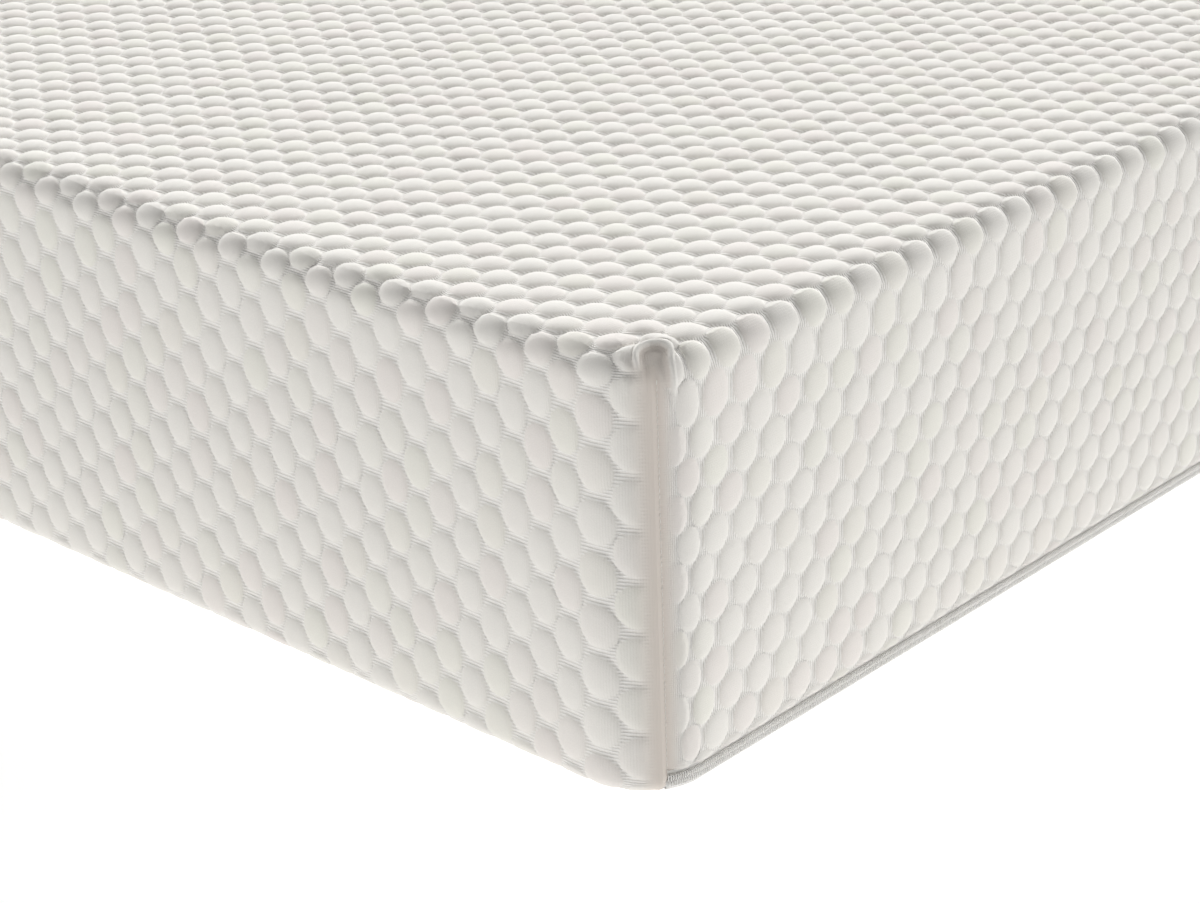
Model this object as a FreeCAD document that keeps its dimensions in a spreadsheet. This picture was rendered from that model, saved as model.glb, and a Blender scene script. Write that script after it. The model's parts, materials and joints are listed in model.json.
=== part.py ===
import FreeCAD, Part
import os
import sys

import Sketcher
from FreeCAD import Vector

# A single-size memory foam mattress. X runs along its length with the zipped foot end at +X, Y across
# its width, and Z up. The origin is at the middle of the underside.
#
# Nested from the inside: three bonded foam layers, a thin fire-retardant liner, the thick knitted cover
# with its four sewn corners, and a base panel. A coil zip joins the cover to the base along the foot end.
# "Inset" is the distance inward from the mattress's outermost upright face.

DRIVING = [
    ("bed_length", 1900.0),
    ("bed_width", 900.0),
    ("bed_height", 250.0),
    ("plan_radius", 45.0),  # upright corners, seen from above
    ("roll_radius", 18.0),  # top edge of the cover
    ("under_radius", 11.0),  # lower edge of the cover
    ("core_round", 34.7),  # lower edge of the foam
    ("ease", 0.3),  # room between the foam, the liner and the cover
    ("cover_thk", 3.0),
    ("liner_thk", 1.0),
    ("base_thk", 2.0),
    ("comfort_thk", 50.0),
    ("transition_thk", 30.0),
    ("mouth_margin", 120.0),  # turned-under border of the liner, around its open mouth
    ("mouth_depth", 20.0),
    ("chain_level", 8.5),  # height of the zip's centre line
    ("coil_inset", 3.5),
    ("coil_thk", 2.2),
    ("coil_reach", 3.1),  # from the zip's centre line to the outer edge of a coil
    ("coil_part", 0.6),  # from the zip's centre line to the inner edge of a coil
    ("tape_thk", 0.6),
    ("tape_top", 22.0),
    ("flange_inset", 20.0),  # how far the lower tape reaches in over the base panel
    ("hem_level", 13.6),  # lower edge of the cover above the zip
    ("chain_end", 393.8),  # Y of the closed end of the coils
    ("stop_length", 2.6),
    ("seam_low", 16.0),  # sewn corner seams start here
    ("seam_top", 234.0),
    ("seam_share", 0.7265),  # tangent of a seam's heading round its corner, from the end of the mattress
    ("stop_share", 0.708),
    ("coil_share", 0.625),  # the coils start here, short of the first corner's seam
    ("thread_wide", 1.2),
    ("thread_deep", 0.5),
    ("slider_length", 11.0),
    ("slider_half", 4.4),  # half the slider's width
    ("slider_nose", 3.5),  # half the slider's width at its narrow end
    ("slider_waist", 1.8),  # from its middle to where it starts to narrow
    ("slider_front", 2.2),  # inset of its outer face
    ("plate_thk", 1.1),
    ("back_inset", 6.7),  # inset of its inner plate
    ("flange_thk", 0.8),
    ("flange_deep", 1.9),
    ("post_half", 0.3),
    ("post_length", 3.6),
    ("crown_half", 3.7),
    ("crown_foot", 0.9),
    ("crown_rise", 1.9),
    ("crown_top", 0.6),
    ("crown_wide", 2.0),
    ("pivot_inset", 1.55),
    ("tab_thk", 0.9),
    ("tab_length", 25.0),
    ("tab_shoulder", 6.3),  # where its wide end starts to narrow
    ("tab_waist", 9.3),
    ("tab_grip", 16.0),  # where its grip starts to widen
    ("tab_palm", 19.0),
    ("tail_radius", 2.5),
    ("tab_half", 2.9),
    ("tab_neck", 2.0),
    ("tab_tail", 2.7),
    ("slot_half", 1.3),
    ("slot_end", 4.3),
]

doc = FreeCAD.newDocument("mattress")
dims = doc.addObject("Spreadsheet::Sheet", "dims")
for row, (alias, number) in enumerate(DRIVING, start=1):
    dims.set(f"A{row}", alias)
    dims.set(f"B{row}", str(number))
    dims.setAlias(f"B{row}", alias)
doc.recompute()

HALF_X = "dims.bed_length / 2"
HALF_Y = "dims.bed_width / 2"
CENTRE_X = "(dims.bed_length / 2 - dims.plan_radius)"  # axis of the upright corner rounding
CENTRE_Y = "(dims.bed_width / 2 - dims.plan_radius)"
LINER_INSET = "(dims.cover_thk + dims.ease)"
LINER_INNER = f"({LINER_INSET} + dims.liner_thk)"
CORE_INSET = f"({LINER_INNER} + dims.ease)"
LINER_LOW = "(dims.base_thk + dims.ease)"
CORE_LOW = f"({LINER_LOW} + dims.liner_thk + dims.ease)"
CORE_TOP = f"(dims.bed_height - {CORE_INSET})"
COMFORT_LOW = f"({CORE_TOP} - dims.comfort_thk)"
TRANSITION_LOW = f"({COMFORT_LOW} - dims.transition_thk)"
TAPE_INSET = "(dims.coil_inset + dims.coil_thk)"
FAR = 100.0  # how far the cutting zones reach past the mattress
CLEAR = 5.0
TINY = 1e-6
SKIM = 0.01  # the thread lies this far off the cover
PARK_ROOM = 0.3  # between the parked slider and its stops

nodes = {}


def node(obj, name):
    obj.Label = name
    nodes[name] = obj
    return obj


def outline(body, name, role, level, loops):
    """A sketch of closed polygons, every corner of which is held by two distances taken from the sheet."""
    sketch = body.newObject("Sketcher::SketchObject", name)
    plane = next(o for o in body.Origin.OriginFeatures if o.Role == role)
    sketch.AttachmentSupport = (plane, "")
    sketch.MapMode = "FlatFace"
    sketch.setExpression("AttachmentOffset.Base.z", level)
    for points in loops:
        at = [Vector(*(sketch.evalExpression(e) for e in p), 0) for p in points]
        first = sketch.GeometryCount
        for i, start in enumerate(at):
            sketch.addGeometry(Part.LineSegment(start, at[(i + 1) % len(at)]))
        for i, point in enumerate(points):
            following = first + (i + 1) % len(points)
            sketch.addConstraint(Sketcher.Constraint("Coincident", first + i, 2, following, 1))
            for kind, expression, value in zip(("DistanceX", "DistanceY"), point, at[i]):
                held = sketch.addConstraint(Sketcher.Constraint(kind, -1, 1, first + i, 1, value))
                sketch.setExpression(f"Constraints[{held}]", expression)
    return sketch


def pad(body, name, sketch, length, midplane=False):
    feature = body.newObject("PartDesign::Pad", name)
    feature.Profile = sketch
    feature.Midplane = midplane
    feature.setExpression("Length", length)
    body.Tip = feature
    return feature


def round_edges(body, name, radius, wanted):
    """Rounds the edges of the body's last feature that wanted accepts, given an edge's bounding box."""
    doc.recompute()
    base = body.Tip
    names = [f"Edge{i}" for i, e in enumerate(base.Shape.Edges, start=1) if wanted(e.BoundBox)]
    feature = body.newObject("PartDesign::Fillet", name)
    feature.Base = (base, names)
    feature.setExpression("Radius", radius)
    body.Tip = feature
    doc.recompute()
    return feature


def upright(box):
    return box.XLength < TINY and box.YLength < TINY


def level_at(z):
    return lambda box: box.ZLength < TINY and abs(box.ZMin - z) < TINY


def block(name, inset, low, high, top_round=None, low_round=None):
    """A rounded block as the mattress is seen from above, brought in by inset, from low to high."""
    body = doc.addObject("PartDesign::Body", name)
    x, y = f"({HALF_X} - {inset})", f"({HALF_Y} - {inset})"
    corners = [(f"-{x}", f"-{y}"), (x, f"-{y}"), (x, y), (f"-{x}", y)]
    sketch = outline(body, name + "_outline", "XY_Plane", low, [corners])
    pad(body, name + "_pad", sketch, f"({high}) - ({low})")
    round_edges(body, name + "_upright", f"dims.plan_radius - {inset}", upright)
    z_low, z_high = body.evalExpression(low), body.evalExpression(high)
    if top_round:
        round_edges(body, name + "_top", top_round, level_at(z_high))
    if low_round:
        round_edges(body, name + "_low", low_round, level_at(z_low))
    return body


def zone(name, points):
    """A tall prism that cuts a stretch out of a ring."""
    body = doc.addObject("PartDesign::Body", name)
    sketch = outline(body, name + "_outline", "XY_Plane", f"-{FAR}", [points])
    pad(body, name + "_pad", sketch, f"dims.bed_height + {2 * FAR}")
    return body


def boolean(kind, name, base, tool):
    feature = doc.addObject(kind, name)
    feature.Base = base
    feature.Tool = tool
    return feature


def strip(name, outer, inner, low, high, cut_by):
    """A stretch of the ring between two insets, from low to high."""
    around = block(name + "_outer", outer, low, high)
    within = block(name + "_inner", inner, low, high)
    return boolean("Part::Common", name, boolean("Part::Cut", name + "_ring", around, within), cut_by)


def far_off(y_sign, share):
    """A far point from a foot corner's axis: share is its Y travel for each unit of X travel."""
    return (f"{CENTRE_X} + {FAR}", f"{y_sign}({CENTRE_Y} + {FAR} * {share})")


# Foam core, bonded layer on layer.
round_top = f"dims.roll_radius - {CORE_INSET}"
core = block("support_core", CORE_INSET, CORE_LOW, TRANSITION_LOW, low_round="dims.core_round")
node(core, "support_core")
node(block("transition_foam", CORE_INSET, TRANSITION_LOW, COMFORT_LOW), "transition_foam")
node(block("comfort_foam", CORE_INSET, COMFORT_LOW, CORE_TOP, top_round=round_top), "comfort_foam")

# Liner: a knitted bag drawn over the foam, with its mouth open underneath.
liner_bag = boolean(
    "Part::Cut",
    "liner_bag",
    block(
        "liner_outer",
        LINER_INSET,
        LINER_LOW,
        f"(dims.bed_height - {LINER_INSET})",
        top_round=f"dims.roll_radius - {LINER_INSET}",
        low_round="dims.core_round + dims.ease + dims.liner_thk",
    ),
    block(
        "liner_inner",
        LINER_INNER,
        f"({LINER_LOW} + dims.liner_thk)",
        f"(dims.bed_height - {LINER_INNER})",
        top_round=f"dims.roll_radius - {LINER_INNER}",
        low_round="dims.core_round + dims.ease",
    ),
)
mouth_x = f"({HALF_X} - dims.mouth_margin)"
mouth_y = f"({HALF_Y} - dims.mouth_margin)"
mouth = doc.addObject("PartDesign::Body", "liner_mouth")
mouth_points = [
    (f"-{mouth_x}", f"-{mouth_y}"),
    (mouth_x, f"-{mouth_y}"),
    (mouth_x, mouth_y),
    (f"-{mouth_x}", mouth_y),
]
mouth_outline = outline(mouth, "mouth_outline", "XY_Plane", "-dims.base_thk", [mouth_points])
pad(mouth, "mouth_pad", mouth_outline, "dims.mouth_depth")
node(boolean("Part::Cut", "inner_liner", liner_bag, mouth), "inner_liner")

# Stretches of the foot end, cut where the corner seams lie.
first_axis = (CENTRE_X, f"-{CENTRE_Y}")
first_seam, second_seam = far_off("-", "dims.seam_share"), far_off("", "dims.seam_share")
first_coil = far_off("-", "dims.coil_share")
chain_far = (f"{CENTRE_X} + {FAR}", "dims.chain_end")
foot_zone = zone("foot_zone", [first_axis, first_seam, second_seam, (CENTRE_X, CENTRE_Y)])
chain_zone = zone("chain_zone", [first_axis, first_coil, chain_far, (CENTRE_X, "dims.chain_end")])
stop_zone = zone("stop_zone", [first_axis, far_off("-", "dims.stop_share"), first_coil])

# Cover: top panel and sides cut in one, rounded in under the mattress to the base panel, with a turned hem
# above the zip.
cover_outer = block(
    "cover_outer",
    "0",
    "0",
    "dims.bed_height",
    top_round="dims.roll_radius",
    low_round="dims.under_radius",
)
cover_inner = block(
    "cover_inner",
    "dims.cover_thk",
    "dims.cover_thk",
    "(dims.bed_height - dims.cover_thk)",
    top_round="dims.roll_radius - dims.cover_thk",
    low_round="dims.under_radius - dims.cover_thk",
)
cover_bag = boolean("Part::Cut", "cover_bag", cover_outer, cover_inner)
cover_mouth = block("cover_mouth", "dims.under_radius", "-dims.base_thk", "dims.cover_thk + dims.ease")
cover_sewn = boolean("Part::Cut", "cover_sewn", cover_bag, cover_mouth)
zip_gap = strip("zip_gap", f"-{CLEAR}", "dims.under_radius", "-dims.base_thk", "dims.hem_level", foot_zone)
hem = strip("hem", "dims.cover_thk", TAPE_INSET, "dims.hem_level", "dims.tape_top", foot_zone)
cover_open = boolean("Part::Cut", "cover_open", cover_sewn, zip_gap)
node(boolean("Part::Fuse", "cover_shell", cover_open, hem), "cover_shell")

# Base panel, on which everything rests.
node(block("base_panel", "dims.under_radius", "0", "dims.base_thk"), "base_panel")

# Sewing thread on the four corner seams.
threads = []
for x_side, y_side in ((1, 1), (-1, 1), (-1, -1), (1, -1)):
    along = f"({x_side} * cos(atan(dims.seam_share)))"
    across = f"({y_side} * sin(atan(dims.seam_share)))"
    thread = doc.addObject("Part::Box", f"thread_{len(threads)}")
    thread.setExpression("Length", "dims.thread_deep")
    thread.setExpression("Width", "dims.thread_wide")
    thread.setExpression("Height", "dims.seam_top - dims.seam_low")
    thread.setExpression("Placement.Rotation.Angle", f"atan2({across}; {along})")
    reach, aside = f"(dims.plan_radius + {SKIM})", "dims.thread_wide / 2"
    place_x = f"{x_side} * {CENTRE_X} + {reach} * {along} + {aside} * {across}"
    place_y = f"{y_side} * {CENTRE_Y} + {reach} * {across} - {aside} * {along}"
    thread.setExpression("Placement.Base.x", place_x)
    thread.setExpression("Placement.Base.y", place_y)
    thread.setExpression("Placement.Base.z", "dims.seam_low")
    threads.append(thread)
stitching = doc.addObject("Part::Compound", "corner_stitching")
stitching.Links = threads
node(stitching, "corner_stitching")

# Zip along the foot end: two tapes, two coils and their stops.
upper_edge = "(dims.chain_level + dims.coil_part)"
lower_edge = "(dims.chain_level - dims.coil_part)"
upper_limit = "(dims.chain_level + dims.coil_reach)"
lower_limit = "(dims.chain_level - dims.coil_reach)"
tape_inner = f"({TAPE_INSET} + dims.tape_thk)"
tape_floor = "(dims.base_thk + dims.tape_thk)"
tape_upper = strip("tape_upper", TAPE_INSET, tape_inner, upper_edge, "dims.tape_top", foot_zone)
tape_upright = strip("tape_upright", TAPE_INSET, tape_inner, "dims.base_thk", lower_edge, foot_zone)
tape_flange = strip("tape_flange", tape_inner, "dims.flange_inset", "dims.base_thk", tape_floor, foot_zone)
coil_upper = strip("coil_upper", "dims.coil_inset", TAPE_INSET, upper_edge, upper_limit, chain_zone)
coil_lower = strip("coil_lower", "dims.coil_inset", TAPE_INSET, lower_limit, lower_edge, chain_zone)
bottom_stop = strip("bottom_stop", "dims.coil_inset", TAPE_INSET, lower_limit, upper_limit, stop_zone)
node(tape_upper, "zip_tape_upper")
node(boolean("Part::Fuse", "zip_tape_lower", tape_upright, tape_flange), "zip_tape_lower")
node(coil_upper, "zip_coil_upper")
node(coil_lower, "zip_coil_lower")
node(bottom_stop, "zip_bottom_stop")

stops = []
for name, low in (("stop_upper", upper_edge), ("stop_lower", lower_limit)):
    stop = doc.addObject("Part::Box", name)
    stop.setExpression("Length", "dims.coil_thk")
    stop.setExpression("Width", "dims.stop_length")
    stop.setExpression("Height", "dims.coil_reach - dims.coil_part")
    stop.setExpression("Placement.Base.x", f"{HALF_X} - {TAPE_INSET}")
    stop.setExpression("Placement.Base.y", "dims.chain_end")
    stop.setExpression("Placement.Base.z", low)
    stops.append(stop)
top_stops = doc.addObject("Part::Compound", "zip_top_stops")
top_stops.Links = stops
node(top_stops, "zip_top_stops")

# Slider, parked at the closed end. Its pieces are drawn about the point where the zip's centre line meets
# the mattress's outermost upright face: X outward, Y along the zip and Z up.
PARK_Y = f"(dims.chain_end - {PARK_ROOM} - dims.slider_length / 2)"


def slider_piece(name):
    body = doc.addObject("PartDesign::Body", name)
    body.setExpression("Placement.Base.x", HALF_X)
    body.setExpression("Placement.Base.y", PARK_Y)
    body.setExpression("Placement.Base.z", "dims.chain_level")
    return node(body, name)


def plate(body, name, loops, inset, thickness):
    """A layer of the slider, as seen from outside: its outer face at inset, its thickness inward."""
    level = f"-({inset} + {thickness})"
    return pad(body, name, outline(body, name + "_outline", "YZ_Plane", level, loops), thickness)


half_length = "dims.slider_length / 2"
shoulders = [
    (f"-{half_length}", "-dims.slider_nose"),
    ("-dims.slider_waist", "-dims.slider_half"),
    (half_length, "-dims.slider_half"),
    (half_length, "dims.slider_half"),
    ("-dims.slider_waist", "dims.slider_half"),
    (f"-{half_length}", "dims.slider_nose"),
]
slider = slider_piece("zip_slider_body")
plate_back = "(dims.slider_front + dims.plate_thk)"
plate(slider, "front_plate", [shoulders], "dims.slider_front", "dims.plate_thk")
post = [
    (f"{half_length} - dims.post_length", "-dims.post_half"),
    (half_length, "-dims.post_half"),
    (half_length, "dims.post_half"),
    (f"{half_length} - dims.post_length", "dims.post_half"),
]
plate(slider, "post", [post], plate_back, f"(dims.back_inset - {plate_back})")
plate(slider, "back_plate", [shoulders], "dims.back_inset", "dims.plate_thk")
for side, sign in (("lower", "-"), ("upper", "")):
    rim = [
        ("-dims.slider_waist", f"{sign}dims.slider_half"),
        (half_length, f"{sign}dims.slider_half"),
        (half_length, f"{sign}(dims.slider_half - dims.flange_thk)"),
        ("-dims.slider_waist", f"{sign}(dims.slider_half - dims.flange_thk)"),
    ]
    plate(slider, f"{side}_flange", [rim], plate_back, "dims.flange_deep")

# Crown: the arch on the slider that holds the pull tab.
crown = slider_piece("zip_slider_crown")
foot, span = "(dims.crown_half - dims.crown_foot)", "dims.crown_half"
seat = "(0 - dims.slider_front)"
brow = f"({seat} + dims.crown_rise - dims.crown_top)"
peak = f"({seat} + dims.crown_rise)"
arch = [
    (seat, f"-{span}"),
    (peak, f"-{span}"),
    (peak, span),
    (seat, span),
    (seat, foot),
    (brow, foot),
    (brow, f"-{foot}"),
    (seat, f"-{foot}"),
]
pad(crown, "arch", outline(crown, "arch_outline", "XY_Plane", "0", [arch]), "dims.crown_wide", midplane=True)
peak_x = crown.evalExpression(peak)
round_edges(
    crown,
    "arch_ends",
    "dims.crown_foot / 2",
    lambda box: box.XLength < TINY and box.YLength < TINY and abs(box.XMax - peak_x) < TINY,
)

# Pull tab: it lies on the closed chain and swings on the bar under the crown.
tab = slider_piece("zip_pull_tab")
tab_front = "(dims.pivot_inset - dims.tab_thk / 2)"
tab_shape = [
    ("0", "-dims.tab_half"),
    ("0", "dims.tab_half"),
    ("-dims.tab_shoulder", "dims.tab_half"),
    ("-dims.tab_waist", "dims.tab_neck"),
    ("-dims.tab_grip", "dims.tab_neck"),
    ("-dims.tab_palm", "dims.tab_tail"),
    ("-dims.tab_length", "dims.tab_tail"),
    ("-dims.tab_length", "-dims.tab_tail"),
    ("-dims.tab_palm", "-dims.tab_tail"),
    ("-dims.tab_grip", "-dims.tab_neck"),
    ("-dims.tab_waist", "-dims.tab_neck"),
    ("-dims.tab_shoulder", "-dims.tab_half"),
]
slot = [
    ("-dims.tab_thk / 2", "-dims.slot_half"),
    ("-dims.tab_thk / 2", "dims.slot_half"),
    ("-dims.slot_end", "dims.slot_half"),
    ("-dims.slot_end", "-dims.slot_half"),
]
plate(tab, "tab_plate", [tab_shape, slot], tab_front, "dims.tab_thk")
bar = tab.newObject("PartDesign::AdditiveCylinder", "bar")
bar.setExpression("Radius", "dims.tab_thk / 2")
bar.setExpression("Height", "2 * dims.tab_half")
bar.setExpression("Placement.Base.x", "-dims.pivot_inset")
bar.setExpression("Placement.Base.z", "-dims.tab_half")
tab.Tip = bar
tail_y = -tab.evalExpression("dims.tab_length")
round_edges(
    tab,
    "tail_round",
    "dims.tail_radius",
    lambda box: box.YLength < TINY and box.ZLength < TINY and abs(box.YMin - tail_y) < TINY,
)


def failed(obj):
    return "Invalid" in obj.State or "Error" in obj.State


doc.recompute()
broken = [o.Name for o in doc.Objects if failed(o)]
for name, obj in nodes.items():
    if obj.Shape.isNull() or not obj.Shape.isValid() or not obj.Shape.Solids:
        broken.append(name)
if broken:
    sys.exit(f"not built: {broken}")

os.makedirs("parts", exist_ok=True)
for name, obj in nodes.items():
    obj.Shape.exportStep(f"parts/{name}.step")
    print(f"{name}: {len(obj.Shape.Solids)} solid(s), {obj.Shape.BoundBox}")
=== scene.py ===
"""A memory foam mattress in a bubble-knit cover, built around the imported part, in its frame and in metres."""
import json
import math

import bpy
import numpy as np
from mathutils import Matrix, Vector

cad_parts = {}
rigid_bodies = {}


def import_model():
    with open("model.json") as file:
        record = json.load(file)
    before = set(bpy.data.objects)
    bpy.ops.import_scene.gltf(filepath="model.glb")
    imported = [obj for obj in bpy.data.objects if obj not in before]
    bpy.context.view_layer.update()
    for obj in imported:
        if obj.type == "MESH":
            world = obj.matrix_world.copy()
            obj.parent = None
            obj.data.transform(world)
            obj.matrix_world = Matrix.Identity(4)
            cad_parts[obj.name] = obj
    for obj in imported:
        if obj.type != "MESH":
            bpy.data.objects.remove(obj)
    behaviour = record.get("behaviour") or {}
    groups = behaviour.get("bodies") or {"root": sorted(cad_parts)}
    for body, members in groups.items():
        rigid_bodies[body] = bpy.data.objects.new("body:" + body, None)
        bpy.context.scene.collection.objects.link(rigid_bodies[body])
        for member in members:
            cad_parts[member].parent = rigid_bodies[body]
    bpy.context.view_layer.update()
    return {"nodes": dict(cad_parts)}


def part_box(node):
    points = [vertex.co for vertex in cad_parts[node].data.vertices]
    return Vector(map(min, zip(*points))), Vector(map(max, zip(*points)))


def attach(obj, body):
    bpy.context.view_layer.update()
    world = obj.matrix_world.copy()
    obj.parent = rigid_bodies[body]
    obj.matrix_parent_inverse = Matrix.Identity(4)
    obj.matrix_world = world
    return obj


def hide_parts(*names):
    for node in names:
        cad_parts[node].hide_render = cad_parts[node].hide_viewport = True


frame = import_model()

# ---------------------------------------------------------------- sizes of the mattress

shell_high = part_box("cover_shell")[1]
HALF_L, HALF_W, TOP = shell_high.x, shell_high.y, shell_high.z
# radii of the upright corners in plan, of the roll round the top and of the turn under the sides
PLAN_R = 0.045
ROLL = 0.018
UNDER_R = 0.011
QUARTER = ROLL * math.pi / 2
# the upright corners' axes, and how far over a corner its seam starts
X0, Y0 = HALF_L - PLAN_R, HALF_W - PLAN_R
SEAM_START = PLAN_R * math.pi / 4
# the hem above the zip: its height, its turn and the cloth tucked in behind it
FOOT_HEM_Z = 0.0136
FOOT_ROLL = 0.0018
FOOT_TUCK = 0.0025

# ---------------------------------------------------------------- mesh helpers


def unit(v):
    return v / np.maximum(np.linalg.norm(v, axis=-1, keepdims=True), 1e-12)


def smoothstep(x, low, high):
    f = np.clip((x - low) / (high - low), 0, 1)
    return f * f * (3 - 2 * f)


def weld(points, faces, grid):
    """Joins points that fall in the same grid step."""
    key = np.round(points / grid).astype(np.int64)
    _, first, back = np.unique(key, axis=0, return_index=True, return_inverse=True)
    return points[first], back.reshape(-1)[faces]


def compact(points, faces):
    """Drops the points that no face uses."""
    used, back = np.unique(faces, return_inverse=True)
    return points[used], back.reshape(faces.shape), used


def split_edges(points, faces, chosen, where):
    """Splits the chosen edges. where gives each new point's place along its edge, from the lower index."""
    count = len(points)
    pairs = np.sort(np.stack([faces, np.roll(faces, -1, axis=1)], axis=2), axis=2)
    code = pairs[..., 0].astype(np.int64) * count + pairs[..., 1]
    unique, back = np.unique(code, return_inverse=True)
    back = back.reshape(code.shape)
    low, high = unique // count, unique % count
    cut = chosen(points[low], points[high])
    share = where(points[low[cut]], points[high[cut]])[:, None]
    fresh = points[low[cut]] * (1 - share) + points[high[cut]] * share
    index = np.full(len(unique), -1)
    index[cut] = count + np.arange(cut.sum())
    middle = index[back]
    number = (middle >= 0).sum(axis=1)
    made = [faces[number == 0]]
    for shift in range(3):
        f, m = np.roll(faces, -shift, axis=1), np.roll(middle, -shift, axis=1)
        one = (number == 1) & (m[:, 0] >= 0)
        a, b, c, p = f[one, 0], f[one, 1], f[one, 2], m[one, 0]
        made += [np.stack([a, p, c], 1), np.stack([p, b, c], 1)]
        two = (number == 2) & (m[:, 2] < 0)
        a, b, c, p, q = f[two, 0], f[two, 1], f[two, 2], m[two, 0], m[two, 1]
        made += [np.stack([p, b, q], 1), np.stack([a, p, q], 1), np.stack([a, q, c], 1)]
    three = number == 3
    a, b, c = faces[three].T
    p, q, r = middle[three].T
    made += [np.stack(x, 1) for x in ((a, p, r), (p, b, q), (r, q, c), (p, q, r))]
    return np.concatenate([points, fresh]), np.concatenate(made)


def cut_line(points, faces, axis, value):
    """Puts a row of edges along a line of constant points[:, axis]."""
    near = np.abs(points[:, axis] - value) < 2e-5
    points[near, axis] = value
    return split_edges(
        points,
        faces,
        lambda a, b: (a[:, axis] - value) * (b[:, axis] - value) < 0,
        lambda a, b: (value - a[:, axis]) / (b[:, axis] - a[:, axis]),
    )


def vertex_normals(points, faces):
    a, b, c = points[faces[:, 0]], points[faces[:, 1]], points[faces[:, 2]]
    face = np.cross(b - a, c - a)
    total = np.zeros_like(points)
    for axis in range(3):
        for corner in range(3):
            total[:, axis] += np.bincount(faces[:, corner], face[:, axis], len(points))
    return unit(total)


def make_mesh(name, points, faces, normals=None, attributes=None, material=None):
    """An object in the scene, made from points and from faces that all have the same number of corners."""
    mesh = bpy.data.meshes.new(name)
    faces = np.asarray(faces)
    points = np.asarray(points, float)
    size = faces.shape[1]
    mesh.vertices.add(len(points))
    mesh.vertices.foreach_set("co", points.astype(np.float32).ravel())
    mesh.loops.add(faces.size)
    mesh.loops.foreach_set("vertex_index", faces.ravel().astype(np.int32))
    mesh.polygons.add(len(faces))
    mesh.polygons.foreach_set("loop_start", np.arange(0, faces.size, size, dtype=np.int32))
    mesh.update(calc_edges=True)
    mesh.polygons.foreach_set("use_smooth", np.ones(len(faces), bool))
    for key, values in (attributes or {}).items():
        kind = "FLOAT_VECTOR" if np.ndim(values) == 2 else "FLOAT"
        layer = mesh.attributes.new(key, kind, "POINT")
        field = "vector" if kind == "FLOAT_VECTOR" else "value"
        layer.data.foreach_set(field, np.asarray(values, np.float32).ravel())
    if normals is not None:
        mesh.normals_split_custom_set_from_vertices(normals.astype(np.float32))
    if material is not None:
        mesh.materials.append(material)
    piece = bpy.data.objects.new(name, mesh)
    bpy.context.scene.collection.objects.link(piece)
    return piece


# ---------------------------------------------------------------- the knit's bubbles, on the flat cloth

# s runs along the mattress and t across it. Bubbles lie on a skewed lattice, in rows half a pitch apart.
PITCH_S = 0.0355
PITCH_T = 0.0232
SKEW = 0.058
ORIGIN_S = HALF_L - 0.0564
ORIGIN_T = -HALF_W - 0.0125
# half sizes of a bubble's foot, on the top and on the sides, the power that squares its outline, and the
# most of its cell's reach that it may fill
FOOT_S = 0.0104
FOOT_T_TOP = 0.0106
FOOT_T_SIDE = 0.0102
SQUARE = 2.3
MOST_OF_CELL = 0.965
# a corner's turn is shared between its end and its side at the seam, which leans towards the end lower down
END_SHARE = math.radians(36)
SIDE_SHARE = math.radians(54)
LEAN = math.radians(5.3)
LEAN_OVER = 0.26
A_SIDE = PLAN_R * SIDE_SHARE
B_END = PLAN_R * END_SHARE
# how the cloth is drawn over an edge: (steady rate, extra length), from a distance past the corner axis
DRAWN_FROM = 0.0593
DRAWN_BLEND = 0.004
DRAWN_T = (0.254, 0.0)
DRAWN_S = (0.065, 0.01005)


def drawn(u, rate, extra):
    """Distance over the mattress for a distance u along the cloth."""
    further = DRAWN_BLEND * np.logaddexp(0, (u - DRAWN_FROM) / DRAWN_BLEND)
    return u + rate * further + extra * smoothstep(u, 0.030, 0.068)


def spread(cloth, axis_at, rate, extra, share_arc):
    """The spread-out cover's own coordinate, in which seams and hems are straight lines."""
    u = np.maximum(np.abs(cloth) - axis_at, 0)
    over = drawn(u, rate, extra) - drawn(np.zeros(1), rate, extra)[0]
    beyond = np.where(over < SEAM_START, over * share_arc / SEAM_START, share_arc + over - SEAM_START)
    return np.sign(cloth) * (np.minimum(np.abs(cloth), axis_at) + beyond)


def lattice_of(s, t):
    """Lattice coordinates of a point of the cloth; the skew stops at the ends of the top."""
    held = np.clip(s, -(HALF_L - ROLL), HALF_L - ROLL)
    return s - ORIGIN_S, t - ORIGIN_T + SKEW * (held - ORIGIN_S)


def cloth_of(p, q):
    """The cloth coordinates of a lattice point: the reverse of lattice_of."""
    s = p + ORIGIN_S
    held = np.clip(s, -(HALF_L - ROLL), HALF_L - ROLL)
    return s, q + ORIGIN_T - SKEW * (held - ORIGIN_S)


def noise_of(i, j, seed):
    """A repeatable number from 0 to 1 for each bubble."""
    h = (i.astype(np.int64) * 73856093) ^ (j.astype(np.int64) * 19349663) ^ (seed * 83492791)
    h = (h ^ (h >> 13)) * 1274126177
    return ((h ^ (h >> 16)) & 0xFFFF) / 65535.0


def nearest_bubble(p, q):
    """Each point's bubble and its offset from that bubble's centre."""
    best = None
    for half in (0, 1):
        i = 2 * np.round((p - half * PITCH_S / 2) / PITCH_S) + half
        j = 2 * np.round((q - half * PITCH_T / 2) / PITCH_T) + half
        dp, dq = p - i * PITCH_S / 2, q - j * PITCH_T / 2
        away = dp**2 + dq**2
        if best is None:
            best = [i, j, dp, dq, away]
        else:
            nearer = away < best[4]
            best = [np.where(nearer, new, old) for new, old in zip([i, j, dp, dq, away], best)]
    return best[:4]


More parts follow.
